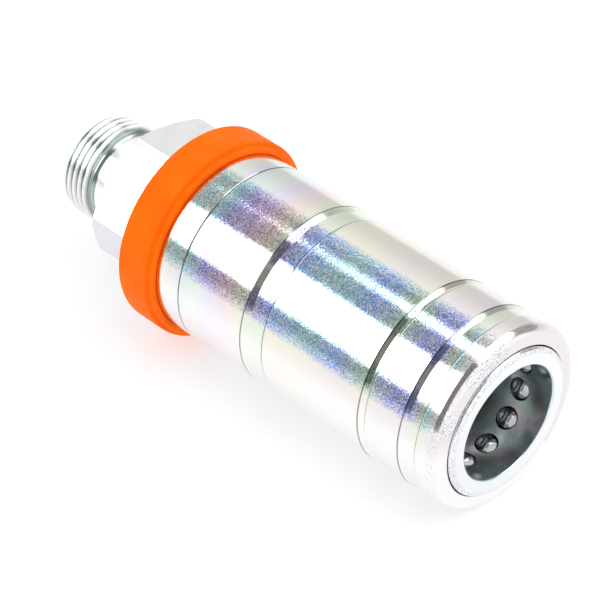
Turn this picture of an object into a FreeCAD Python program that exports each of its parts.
import FreeCAD, Part
import math
import os

# Hydraulic quick coupling socket, half inch size, push and pull sleeve.
# Millimetres. The axis is Z, the face of the male thread lies at Z = 0 and the
# mouth that takes the plug points along +Z.

# Male stud
THREAD_D = 22.0
THREAD_LENGTH = 7.9
THREAD_END_BEVEL = 0.6
RELIEF_DEPTH = 1.2
RELIEF_LENGTH = 5.2
RELIEF_FILLET = 1.0
SHOULDER_LENGTH = 2.4

# Tube seat and flow bore inside the stud
FLOW_BORE_D = 12.0
TUBE_SEAT_STEP = 1.55
TUBE_SEAT_DEPTH = 7.0
CONE_WIDENING = 0.95
CONE_HALF_ANGLE = 12.0

# Spanner hexagon
HEX_LENGTH = 12.4
HEX_SIDES = 6
HEX_CORNER_TRIM = 0.475
HEX_FACE_STEP = 2.9
HEX_BEVEL_ANGLE = 30.0
HEX_TURN = 34.5

# Spigot that screws into the body
SPIGOT_LENGTH = 13.8
SPIGOT_BORE_STEP = 1.0
PILOT_STEP = 0.6
PILOT_LENGTH = 5.8
BELL_STEP = 1.5
BELL_LENGTH = 3.0
SPIGOT_SEAL_GROOVE_WIDTH = 2.4
SPIGOT_SEAL_GROOVE_DEPTH = 1.4

# Socket body
PLUG_BORE_D = 23.9
PLUG_BORE_DEPTH = 17.0
NOSE_WALL = 3.55
NOSE_PROUD = 0.8
NOSE_BEVEL = 0.9
NOSE_STEP = 1.0
MOUTH_BEVEL = 0.5
SEAL_BORE_STEP = 1.6
BARREL_WALL = 2.5
VALVE_CHAMBER_STEP = 0.65
SEAT_LIP = 2.5
BODY_REAR_BEVEL = 0.3

# Plug seal
PLUG_SEAL_DEPTH = 24.5
PLUG_SEAL_SECTION = 2.6
PLUG_SEAL_GROOVE_DEPTH = 2.2
BACKUP_WIDTH = 1.3
TIP_PAST_SEAL = 6.5

# Locking balls
BALL_D = 4.76
BALL_COUNT = 12
BALL_DEPTH = 7.5
BALL_RELIEF_DEPTH = 0.4
BALL_RELIEF_FLOOR = 5.4

# Sliding sleeve
SLEEVE_WALL = 1.85
SLEEVE_TRAVEL = 3.6
SLEEVE_FRONT_ROUND = 2.2
SLEEVE_MOUTH_BEVEL = 0.15
RECESS_FLOOR = 1.6
GUIDE_DEPTH = 17.5
SPRING_ROOM = 2.9

# Turned marks round the outside of the sleeve, as distances behind its face
FRONT_GROOVE_BACK = 9.1
FRONT_GROOVE_WIDTH = 4.1
FRONT_GROOVE_DEPTH = 0.4
FRONT_GROOVE_RAMP = 1.0
MIDDLE_GROOVE_BACK = 19.2
MIDDLE_GROOVE_WIDTH = 1.7
MIDDLE_GROOVE_DEPTH = 0.4
MIDDLE_GROOVE_RAMP = 0.5
WIDE_GROOVE_BACK = 50.1
WIDE_GROOVE_WIDTH = 5.7
WIDE_GROOVE_DEPTH = 0.32
WIDE_GROOVE_RAMP = 1.9

# Collar that closes the rear of the sleeve
COLLAR_LENGTH = 11.5
COLLAR_WEB = 4.0
COLLAR_THREAD_WALL = 0.9
COLLAR_THREAD_LENGTH = 5.5
JOINT_BEVEL = 0.15

# Marker ring
RING_BAND_HEIGHT = 2.15
RING_BAND_LENGTH = 7.5
RING_STEP_HEIGHT = 1.25
RING_LENGTH = 8.7
RING_SKIRT = 3.3
RING_HOOK = 0.7
RING_EDGE = 0.5
RING_BAND_EDGE = 0.25
RING_BEAD_HEIGHT = 0.35
RING_BEAD_WIDTH = 1.2
RING_BEAD_OFFSET = 2.0

# Centring springs, their washers and the fixed ring between them
SLEEVE_SPRING_PLAY = 0.35
SLEEVE_SPRING_TURNS = 6.5
WASHER_THICKNESS = 0.8
FIXED_RING_WIDTH = 1.5
FIXED_RING_PROUD = 1.7
FIXED_RING_GROOVE_DEPTH = 1.1
FIXED_RING_GAP_ANGLE = 24.0

# Poppet valve
POPPET_TRAVEL = 8.0
POPPET_FLOW_GAP = 1.6
POPPET_OVERLAP = 1.2
POPPET_HEAD_LENGTH = 6.0
POPPET_NOSE_PROUD = 3.5
POPPET_NOSE_BEVEL = 0.8
POPPET_STEM_D = 6.0
POPPET_STEM_TAIL = 2.0
POPPET_BOSS_LENGTH = 2.0
POPPET_SEAL_SECTION = 1.6
POPPET_SEAL_PROUD = 0.08

# Valve guide and valve spring
GUIDE_THICKNESS = 3.0
GUIDE_HUB_D = 10.4
GUIDE_HUB_LENGTH = 15.6
GUIDE_HUB_WALL = 0.65
GUIDE_RIM = 1.3
GUIDE_SPOKE_ANGLE = 24.0
GUIDE_SPOKES = 3
VALVE_SPRING_WIRE = 1.5
VALVE_SPRING_PLAY = 0.65
VALVE_SPRING_TURNS = 8.5

# Clearances, all measured on the radius or along the axis
THREAD_PLAY = 0.05
PILOT_PLAY = 0.05
RUNNING_PLAY = 0.10
LAND_PLAY = 0.15
STOP_PLAY = 0.5
BALL_PLAY = 0.05
BALL_LAND_PLAY = 0.10
RECESS_PLAY = 0.15
WASHER_PLAY = 0.15
SEAL_PLAY = 0.05
SEAL_GROOVE_PLAY = 0.15
BACKUP_PLAY = 0.3
SEAL_ROUNDING_SHARE = 0.45
SEAT_PLAY = 0.2
VALVE_STOP_PLAY = 0.4
STEM_PLAY = 0.08
GUIDE_PLAY = 0.1
RING_PLAY = 0.05
SKIRT_PLAY = 0.55
POCKET_CONE = 0.6
CUT_PAST = 1.0
SAME_POINT = 1e-6

# Stations along the axis
HEX_REAR = THREAD_LENGTH + RELIEF_LENGTH + SHOULDER_LENGTH
HEX_FRONT = HEX_REAR + HEX_LENGTH
PILOT_END = HEX_FRONT + SPIGOT_LENGTH
PILOT_START = PILOT_END - PILOT_LENGTH
SPIGOT_SEAL_Z = (PILOT_START + PILOT_END - BELL_LENGTH) / 2.0
GUIDE_FRONT = PILOT_END + GUIDE_THICKNESS
HUB_END = GUIDE_FRONT + GUIDE_HUB_LENGTH
POPPET_BOSS_REAR = HUB_END + VALVE_STOP_PLAY + POPPET_TRAVEL
POPPET_HEAD_REAR = POPPET_BOSS_REAR + POPPET_BOSS_LENGTH
POPPET_CONE_REAR = POPPET_HEAD_REAR + POPPET_HEAD_LENGTH
LIP_REAR = POPPET_CONE_REAR + POPPET_OVERLAP + SEAT_PLAY
SEAL_BORE_END = LIP_REAR + SEAT_LIP
PLUG_SEAL_Z = SEAL_BORE_END + TIP_PAST_SEAL
NOSE_FACE = PLUG_SEAL_Z + PLUG_SEAL_DEPTH
PLUG_BORE_END = NOSE_FACE - PLUG_BORE_DEPTH
BALL_ROW = NOSE_FACE - BALL_DEPTH
SLEEVE_FACE = NOSE_FACE - NOSE_PROUD
SPRING_SHOULDER = SLEEVE_FACE - GUIDE_DEPTH
NOSE_REAR = SPRING_SHOULDER + SLEEVE_TRAVEL + STOP_PLAY
COLLAR_REAR = HEX_FRONT + SLEEVE_TRAVEL + STOP_PLAY
COLLAR_FLOOR = COLLAR_REAR + COLLAR_WEB
SLEEVE_REAR = COLLAR_REAR + COLLAR_LENGTH
RING_REAR = COLLAR_REAR - RING_SKIRT
FIXED_RING_Z = (COLLAR_FLOOR + SPRING_SHOULDER) / 2.0

# Radii that several pieces share, from the plug's bore outwards
PLUG_BORE_R = PLUG_BORE_D / 2.0
SEAL_BORE_R = PLUG_BORE_R - SEAL_BORE_STEP
NOSE_R = PLUG_BORE_R + NOSE_WALL
LAND_R = NOSE_R + LAND_PLAY
BALL_R = BALL_D / 2.0
BALL_ROW_R = LAND_R - BALL_LAND_PLAY - BALL_R
BALL_RELIEF_R = PLUG_BORE_R + BALL_RELIEF_DEPTH
BARREL_R = NOSE_R - NOSE_STEP
CHAMBER_R = BARREL_R + SPRING_ROOM
SLEEVE_R = CHAMBER_R + SLEEVE_WALL
COLLAR_THREAD_R = CHAMBER_R + COLLAR_THREAD_WALL
RING_R = SLEEVE_R + RING_BAND_HEIGHT
SKIRT_R = SLEEVE_R - RING_HOOK
HEX_CORNER_R = SKIRT_R - SKIRT_PLAY
HEX_FACE_R = HEX_CORNER_R - HEX_FACE_STEP

# Radii inside the body, from the barrel inwards
SPIGOT_R = BARREL_R - BARREL_WALL
PILOT_R = SPIGOT_R - PILOT_STEP
PILOT_BORE_R = PILOT_R + PILOT_PLAY
VALVE_R = PILOT_BORE_R - VALVE_CHAMBER_STEP
BELL_R = VALVE_R - BELL_STEP
POPPET_HEAD_R = VALVE_R - POPPET_FLOW_GAP
SEAT_R = POPPET_HEAD_R - POPPET_OVERLAP
FLOW_R = FLOW_BORE_D / 2.0
SPIGOT_BORE_R = FLOW_R + SPIGOT_BORE_STEP
SPIGOT_SEAL_FLOOR_R = PILOT_R - SPIGOT_SEAL_GROOVE_DEPTH
STEM_R = POPPET_STEM_D / 2.0
HUB_R = GUIDE_HUB_D / 2.0

AXIS = FreeCAD.Vector(0, 0, 1)
CENTRE = FreeCAD.Vector(0, 0, 0)


def at(radius, height, angle=0.0):
    """Point on a cylinder about the axis, the angle in degrees."""
    turn = math.radians(angle)
    return FreeCAD.Vector(radius * math.cos(turn), radius * math.sin(turn), height)


def corner_arc(before, here, after, radius):
    """Start, middle and end of the arc that rounds one corner of an outline."""
    back = (before - here).normalize()
    ahead = (after - here).normalize()
    half = back.getAngle(ahead) / 2.0
    reach = radius / math.tan(half)
    inward = (back + ahead).normalize()
    middle = here + inward * (radius / math.sin(half) - radius)
    return here + back * reach, middle, here + ahead * reach


def outline(corners):
    """Closed half section from (radius, height) corners, each with an optional rounding."""
    points = [at(corner[0], corner[1]) for corner in corners]
    count = len(points)
    stretches = []
    for index, corner in enumerate(corners):
        if len(corner) == 3:
            stretches.append(corner_arc(points[index - 1], points[index],
                                        points[(index + 1) % count], corner[2]))
        else:
            stretches.append((points[index],))
    edges = []
    for index, stretch in enumerate(stretches):
        if len(stretch) == 3:
            edges.append(Part.Arc(*stretch).toShape())
        start = stretch[-1]
        end = stretches[(index + 1) % count][0]
        if start.distanceToPoint(end) > SAME_POINT:
            edges.append(Part.LineSegment(start, end).toShape())
    return Part.Face(Part.Wire(edges))


def turned(corners, angle=360.0):
    """Solid of revolution about the axis from its half section."""
    return outline(corners).revolve(CENTRE, AXIS, angle)


def tube(inner, outer, bottom, top):
    """Plain ring or tube between two heights."""
    return turned([(inner, bottom), (outer, bottom), (outer, top), (inner, top)])


def around(shape, count, start=0.0):
    """Copies of a shape set evenly about the axis."""
    copies = []
    for index in range(count):
        copy = shape.copy()
        copy.rotate(CENTRE, AXIS, start + 360.0 / count * index)
        copies.append(copy)
    return copies


def coil_spring(mean_r, wire_d, bottom, top, turns):
    """Round wire helix with both ends ground flat."""
    height = top - bottom
    pitch = height / turns
    path = Part.Wire(Part.makeHelix(pitch, height, mean_r).Edges)
    rise = FreeCAD.Vector(0, mean_r * 2.0 * math.pi, pitch)
    section = Part.Wire(Part.makeCircle(wire_d / 2.0, at(mean_r, 0), rise))
    coil = path.makePipeShell([section], True, True)
    coil.translate(AXIS * bottom)
    return coil.common(tube(mean_r - wire_d, mean_r + wire_d, bottom, top))


def groove_corners(back, width, depth, ramp):
    """Outline of a turned groove with a ramp at its rear and a square front wall."""
    rear = SLEEVE_FACE - back
    floor = SLEEVE_R - depth
    return [(SLEEVE_R, rear), (floor, rear + ramp), (floor, rear + width), (SLEEVE_R, rear + width)]


def hexagon():
    """Spanner hexagon with its corners turned off and both ends bevelled."""
    sharp_r = HEX_CORNER_R + HEX_CORNER_TRIM
    step = 360.0 / HEX_SIDES
    points = [at(sharp_r, HEX_REAR, HEX_TURN + step * side) for side in range(HEX_SIDES + 1)]
    prism = Part.Face(Part.makePolygon(points)).extrude(AXIS * HEX_LENGTH)
    drop = HEX_FACE_STEP * math.tan(math.radians(HEX_BEVEL_ANGLE))
    envelope = turned([(0, HEX_REAR), (HEX_FACE_R, HEX_REAR), (HEX_CORNER_R, HEX_REAR + drop),
                       (HEX_CORNER_R, HEX_FRONT - drop), (HEX_FACE_R, HEX_FRONT), (0, HEX_FRONT)])
    return prism.common(envelope)


def stud():
    """Threaded stud at its major diameter, with the run out groove and the shoulder."""
    thread_r = THREAD_D / 2.0
    relief_r = thread_r - RELIEF_DEPTH
    relief_end = THREAD_LENGTH + RELIEF_LENGTH
    return turned([(0, 0), (thread_r - THREAD_END_BEVEL, 0), (thread_r, THREAD_END_BEVEL),
                   (thread_r, THREAD_LENGTH - RELIEF_DEPTH), (relief_r, THREAD_LENGTH, RELIEF_FILLET),
                   (relief_r, relief_end, RELIEF_FILLET),
                   (thread_r, relief_end), (thread_r, HEX_REAR), (0, HEX_REAR)])


def spigot():
    """Front end of the adapter: thread, pilot and the groove of its seal."""
    half = SPIGOT_SEAL_GROOVE_WIDTH / 2.0
    low = SPIGOT_SEAL_Z - half
    high = SPIGOT_SEAL_Z + half
    return turned([(0, HEX_FRONT), (SPIGOT_R, HEX_FRONT), (SPIGOT_R, PILOT_START - PILOT_STEP),
                   (PILOT_R, PILOT_START), (PILOT_R, low), (SPIGOT_SEAL_FLOOR_R, low),
                   (SPIGOT_SEAL_FLOOR_R, high), (PILOT_R, high), (PILOT_R, PILOT_END), (0, PILOT_END)])


def adapter_bore():
    """Cone and seat for the tube, the flow bore and the bell mouth at the valve."""
    tube_r = FLOW_R + TUBE_SEAT_STEP
    mouth_r = tube_r + CONE_WIDENING
    cone_depth = CONE_WIDENING / math.tan(math.radians(CONE_HALF_ANGLE))
    return turned([(0, 0), (mouth_r, 0), (tube_r, cone_depth), (tube_r, TUBE_SEAT_DEPTH),
                   (FLOW_R, TUBE_SEAT_DEPTH), (FLOW_R, HEX_FRONT - SPIGOT_BORE_STEP),
                   (SPIGOT_BORE_R, HEX_FRONT), (SPIGOT_BORE_R, PILOT_END - BELL_LENGTH),
                   (BELL_R, PILOT_END), (0, PILOT_END)])


def rear_adapter():
    return stud().fuse(hexagon()).fuse(spigot()).cut(adapter_bore()).removeSplitter()


def spigot_seal():
    """Seal of the spigot, squeezed between its groove and the body."""
    inner = SPIGOT_SEAL_FLOOR_R + SEAL_PLAY
    outer = PILOT_BORE_R - SEAL_PLAY
    half = SPIGOT_SEAL_GROOVE_WIDTH / 2.0 - SEAL_GROOVE_PLAY
    rounding = (outer - inner) * SEAL_ROUNDING_SHARE
    low = SPIGOT_SEAL_Z - half
    high = SPIGOT_SEAL_Z + half
    return turned([(inner, low, rounding), (outer, low, rounding),
                   (outer, high, rounding), (inner, high, rounding)])


def body_outside():
    """Outer form of the socket body as a solid bar."""
    groove_r = BARREL_R - FIXED_RING_GROOVE_DEPTH
    half = FIXED_RING_WIDTH / 2.0
    return [(BARREL_R - BODY_REAR_BEVEL, HEX_FRONT), (BARREL_R, HEX_FRONT + BODY_REAR_BEVEL),
            (BARREL_R, FIXED_RING_Z - half), (groove_r, FIXED_RING_Z - half),
            (groove_r, FIXED_RING_Z + half), (BARREL_R, FIXED_RING_Z + half),
            (BARREL_R, NOSE_REAR), (NOSE_R, NOSE_REAR + NOSE_STEP),
            (NOSE_R, NOSE_FACE - NOSE_BEVEL), (NOSE_R - NOSE_BEVEL, NOSE_FACE)]


def body_inside():
    """Bore of the socket body, from the mouth back to the adapter's thread."""
    thread_r = SPIGOT_R + THREAD_PLAY
    seat_run = VALVE_R - SEAT_R
    floor_r = SEAL_BORE_R + PLUG_SEAL_GROOVE_DEPTH
    half = plug_seal_groove_half()
    relief_half = BALL_RELIEF_FLOOR / 2.0
    relief_reach = relief_half + BALL_RELIEF_DEPTH
    return [(PLUG_BORE_R + MOUTH_BEVEL, NOSE_FACE), (PLUG_BORE_R, NOSE_FACE - MOUTH_BEVEL),
            (PLUG_BORE_R, BALL_ROW + relief_reach), (BALL_RELIEF_R, BALL_ROW + relief_half),
            (BALL_RELIEF_R, BALL_ROW - relief_half), (PLUG_BORE_R, BALL_ROW - relief_reach),
            (PLUG_BORE_R, PLUG_BORE_END), (SEAL_BORE_R, PLUG_BORE_END - SEAL_BORE_STEP),
            (SEAL_BORE_R, PLUG_SEAL_Z + half), (floor_r, PLUG_SEAL_Z + half),
            (floor_r, PLUG_SEAL_Z - half), (SEAL_BORE_R, PLUG_SEAL_Z - half),
            (SEAL_BORE_R, SEAL_BORE_END), (SEAT_R, SEAL_BORE_END), (SEAT_R, LIP_REAR),
            (VALVE_R, LIP_REAR - seat_run), (VALVE_R, GUIDE_FRONT),
            (PILOT_BORE_R, GUIDE_FRONT), (PILOT_BORE_R, PILOT_START + THREAD_PLAY),
            (thread_r, PILOT_START + THREAD_PLAY), (thread_r, HEX_FRONT)]


def plug_seal_groove_half():
    return (PLUG_SEAL_SECTION + BACKUP_WIDTH) / 2.0 + SEAL_GROOVE_PLAY


def pocket_throat_r():
    """Radius of the hole that a ball looks through into the plug bore."""
    sunk = BALL_ROW_R - BALL_RELIEF_R
    return math.sqrt(BALL_R ** 2 - sunk ** 2) + BALL_PLAY


def ball_pocket():
    """Radial hole of one ball along +X: throat, cone and straight bore."""
    throat_r = pocket_throat_r()
    bore_r = BALL_R + BALL_PLAY
    out = FreeCAD.Vector(1, 0, 0)
    throat = Part.makeCylinder(throat_r, BALL_R, at(BALL_RELIEF_R - BALL_R, BALL_ROW), out)
    cone = Part.makeCone(throat_r, bore_r, POCKET_CONE, at(BALL_RELIEF_R, BALL_ROW), out)
    bore = Part.makeCylinder(bore_r, BALL_D, at(BALL_RELIEF_R + POCKET_CONE, BALL_ROW), out)
    return throat.fuse(cone).fuse(bore)


def socket_body():
    body = turned(body_outside() + body_inside())
    for pocket in around(ball_pocket(), BALL_COUNT):
        body = body.cut(pocket)
    return body


def locking_balls():
    """One ball in each pocket, held in by the land of the sleeve."""
    return around(Part.makeSphere(BALL_R, at(BALL_ROW_R, BALL_ROW)), BALL_COUNT)


def plug_seal():
    """Ring seal for the tip of the plug, at the rear of its groove."""
    mean_r = SEAL_BORE_R + PLUG_SEAL_GROOVE_DEPTH - SEAL_PLAY - PLUG_SEAL_SECTION / 2.0
    height = PLUG_SEAL_Z - plug_seal_groove_half() + SEAL_PLAY + PLUG_SEAL_SECTION / 2.0
    return Part.makeTorus(mean_r, PLUG_SEAL_SECTION / 2.0, at(0, height), AXIS)


def backup_ring():
    """Flat ring that keeps the seal out of the gap on the mouth side."""
    top = PLUG_SEAL_Z + plug_seal_groove_half() - SEAL_PLAY
    outer = SEAL_BORE_R + PLUG_SEAL_GROOVE_DEPTH - SEAL_PLAY
    return tube(SEAL_BORE_R + BACKUP_PLAY, outer, top - BACKUP_WIDTH, top)


def recess_corners(centre):
    """Release recess of the sleeve that the balls drop into, from front to rear."""
    floor_r = PLUG_BORE_R + BALL_D + RECESS_PLAY
    half = RECESS_FLOOR / 2.0
    flank = floor_r - LAND_R
    return [(LAND_R, centre + half + flank), (floor_r, centre + half),
            (floor_r, centre - half), (LAND_R, centre - half - flank)]


def sleeve_outside():
    wide = groove_corners(WIDE_GROOVE_BACK, WIDE_GROOVE_WIDTH, WIDE_GROOVE_DEPTH, WIDE_GROOVE_RAMP)
    middle = groove_corners(MIDDLE_GROOVE_BACK, MIDDLE_GROOVE_WIDTH, MIDDLE_GROOVE_DEPTH,
                            MIDDLE_GROOVE_RAMP)
    front = groove_corners(FRONT_GROOVE_BACK, FRONT_GROOVE_WIDTH, FRONT_GROOVE_DEPTH,
                           FRONT_GROOVE_RAMP)
    edge = [(SLEEVE_R, SLEEVE_FACE, SLEEVE_FRONT_ROUND)]
    bevel = [(SLEEVE_R - JOINT_BEVEL, SLEEVE_REAR), (SLEEVE_R, SLEEVE_REAR + JOINT_BEVEL)]
    return bevel + wide + middle + front + edge


def sleeve_inside():
    thread_r = COLLAR_THREAD_R + THREAD_PLAY
    thread_end = SLEEVE_REAR + COLLAR_THREAD_LENGTH + THREAD_PLAY
    mouth = [(LAND_R + SLEEVE_MOUTH_BEVEL, SLEEVE_FACE), (LAND_R, SLEEVE_FACE - SLEEVE_MOUTH_BEVEL)]
    front_recess = recess_corners(BALL_ROW + SLEEVE_TRAVEL)
    rear_recess = recess_corners(BALL_ROW - SLEEVE_TRAVEL)
    chamber = [(LAND_R, SPRING_SHOULDER), (CHAMBER_R, SPRING_SHOULDER), (CHAMBER_R, thread_end),
               (thread_r, thread_end), (thread_r, SLEEVE_REAR)]
    return mouth + front_recess + rear_recess + chamber


def locking_sleeve():
    return turned(sleeve_outside() + sleeve_inside())


def sleeve_collar():
    """Screwed collar: it runs on the barrel, holds the rear spring and carries the ring."""
    bore_r = BARREL_R + RUNNING_PLAY
    front = SLEEVE_REAR + COLLAR_THREAD_LENGTH
    bead_r = SLEEVE_R - RING_BEAD_HEIGHT - RING_PLAY
    bead = COLLAR_REAR + RING_BEAD_OFFSET
    bead_end = bead + RING_BEAD_WIDTH + RING_PLAY * 2.0
    return turned([(bore_r, COLLAR_REAR), (SLEEVE_R, COLLAR_REAR), (SLEEVE_R, bead), (bead_r, bead),
                   (bead_r, bead_end), (SLEEVE_R, bead_end), (SLEEVE_R, SLEEVE_REAR - JOINT_BEVEL),
                   (SLEEVE_R - JOINT_BEVEL, SLEEVE_REAR), (COLLAR_THREAD_R, SLEEVE_REAR),
                   (COLLAR_THREAD_R, front),
                   (CHAMBER_R, front), (CHAMBER_R, COLLAR_FLOOR), (bore_r, COLLAR_FLOOR)])


def marker_ring():
    """Coloured ring that snaps over the collar and hooks behind its rear face."""
    seat_r = SLEEVE_R + RING_PLAY
    step_r = SLEEVE_R + RING_STEP_HEIGHT
    groove_r = seat_r - RING_BEAD_HEIGHT
    band_end = RING_REAR + RING_BAND_LENGTH
    front = RING_REAR + RING_LENGTH
    bead = COLLAR_REAR + RING_BEAD_OFFSET + RING_PLAY
    hook = COLLAR_REAR - RING_PLAY
    return turned([(SKIRT_R, RING_REAR), (RING_R, RING_REAR, RING_EDGE), (RING_R, band_end, RING_BAND_EDGE),
                   (step_r, band_end), (step_r, front, RING_EDGE), (seat_r, front),
                   (seat_r, bead + RING_BEAD_WIDTH), (groove_r, bead + RING_BEAD_WIDTH),
                   (groove_r, bead), (seat_r, bead), (seat_r, hook), (SKIRT_R, hook)])


def washer(bottom):
    """Flat washer that slides on the barrel inside the spring chamber."""
    return tube(BARREL_R + WASHER_PLAY, CHAMBER_R - WASHER_PLAY, bottom, bottom + WASHER_THICKNESS)


def fixed_ring():
    """Open snap ring in the groove of the barrel, between the two springs."""
    inner = BARREL_R - FIXED_RING_GROOVE_DEPTH + SEAL_PLAY
    outer = BARREL_R + FIXED_RING_PROUD
    half = FIXED_RING_WIDTH / 2.0
    section = [(inner, FIXED_RING_Z - half), (outer, FIXED_RING_Z - half),
               (outer, FIXED_RING_Z + half), (inner, FIXED_RING_Z + half)]
    return turned(section, 360.0 - FIXED_RING_GAP_ANGLE)


def sleeve_spring(bottom, top):
    """Centring spring between two washers."""
    mean_r = (BARREL_R + CHAMBER_R) / 2.0
    wire_d = SPRING_ROOM - SLEEVE_SPRING_PLAY * 2.0
    return coil_spring(mean_r, wire_d, bottom, top, SLEEVE_SPRING_TURNS)


def poppet_cone():
    """Corners at the rear and front of the cone that closes on the seat."""
    return (POPPET_HEAD_R, POPPET_CONE_REAR), (SEAT_R - SEAT_PLAY, LIP_REAR)


def cone_point(depth):
    """Point behind the middle of the poppet's cone, at a depth square to it."""
    rear, front = poppet_cone()
    middle_r = (rear[0] + front[0]) / 2.0
    middle_z = (rear[1] + front[1]) / 2.0
    return middle_r - depth * math.sqrt(0.5), middle_z - depth * math.sqrt(0.5)


def poppet_seal_groove():
    """Square groove set into the cone."""
    half = POPPET_SEAL_SECTION / 2.0 + SEAL_PLAY
    centre_r, centre_z = cone_point(POPPET_SEAL_SECTION / 2.0 - POPPET_SEAL_PROUD)
    reach = half * math.sqrt(2.0)
    return turned([(centre_r - reach, centre_z), (centre_r, centre_z - reach),
                   (centre_r + reach * 2.0, centre_z + reach), (centre_r + reach, centre_z + reach * 2.0)])


def valve_poppet():
    """Valve with its nose in the seat, the head behind it and the guided stem."""
    rear, front = poppet_cone()
    tail = PILOT_END - POPPET_STEM_TAIL
    tip = SEAL_BORE_END + POPPET_NOSE_PROUD
    poppet = turned([(0, tail), (STEM_R, tail), (STEM_R, POPPET_BOSS_REAR),
                     (HUB_R, POPPET_BOSS_REAR), (HUB_R, POPPET_HEAD_REAR),
                     (POPPET_HEAD_R, POPPET_HEAD_REAR), rear, front,
                     (front[0], tip, POPPET_NOSE_BEVEL), (0, tip)])
    return poppet.cut(poppet_seal_groove())


def poppet_seal():
    centre_r, centre_z = cone_point(POPPET_SEAL_SECTION / 2.0 - POPPET_SEAL_PROUD)
    return Part.makeTorus(centre_r, POPPET_SEAL_SECTION / 2.0, at(0, centre_z), AXIS)


def valve_guide():
    """Spider clamped between adapter and body; its hub guides the stem and stops the poppet."""
    bore_r = STEM_R + STEM_PLAY
    rim_r = PILOT_BORE_R - GUIDE_PLAY
    guide = turned([(bore_r, PILOT_END), (rim_r, PILOT_END), (rim_r, GUIDE_FRONT),
                    (HUB_R, GUIDE_FRONT), (HUB_R, HUB_END), (bore_r, HUB_END)])
    inner = HUB_R + GUIDE_HUB_WALL
    outer = VALVE_R - GUIDE_RIM
    window = turned([(inner, PILOT_END - CUT_PAST), (outer, PILOT_END - CUT_PAST),
                     (outer, GUIDE_FRONT + CUT_PAST), (inner, GUIDE_FRONT + CUT_PAST)],
                    360.0 / GUIDE_SPOKES - GUIDE_SPOKE_ANGLE)
    for opening in around(window, GUIDE_SPOKES):
        guide = guide.cut(opening)
    return guide


def valve_spring():
    mean_r = HUB_R + VALVE_SPRING_PLAY + VALVE_SPRING_WIRE / 2.0
    return coil_spring(mean_r, VALVE_SPRING_WIRE, GUIDE_FRONT, POPPET_HEAD_REAR, VALVE_SPRING_TURNS)


def spring_stack():
    """Washers and springs of the sleeve, from the collar to the sleeve's shoulder."""
    half = FIXED_RING_WIDTH / 2.0
    rear_top = FIXED_RING_Z - half - WASHER_THICKNESS
    front_bottom = FIXED_RING_Z + half
    front_top = SPRING_SHOULDER - WASHER_THICKNESS
    return {
        "rear_seat_washer": washer(COLLAR_FLOOR),
        "rear_sleeve_spring": sleeve_spring(COLLAR_FLOOR + WASHER_THICKNESS, rear_top),
        "rear_stop_washer": washer(rear_top),
        "spring_stop_ring": fixed_ring(),
        "front_stop_washer": washer(front_bottom),
        "front_sleeve_spring": sleeve_spring(front_bottom + WASHER_THICKNESS, front_top),
        "front_seat_washer": washer(front_top),
    }


def all_pieces():
    pieces = {
        "rear_adapter": rear_adapter(),
        "spigot_seal": spigot_seal(),
        "socket_body": socket_body(),
        "plug_seal": plug_seal(),
        "backup_ring": backup_ring(),
        "valve_guide": valve_guide(),
        "valve_spring": valve_spring(),
        "valve_poppet": valve_poppet(),
        "poppet_seal": poppet_seal(),
        "locking_sleeve": locking_sleeve(),
        "sleeve_collar": sleeve_collar(),
        "marker_ring": marker_ring(),
    }
    pieces.update(spring_stack())
    for number, ball in enumerate(locking_balls(), 1):
        pieces["locking_ball_%02d" % number] = ball
    return pieces


def main():
    os.makedirs("parts", exist_ok=True)
    for name, shape in all_pieces().items():
        shape.exportStep("parts/%s.step" % name)
        print("%-20s volume %9.1f  valid %s  solids %d" % (
            name, shape.Volume, shape.isValid(), len(shape.Solids)))


main()
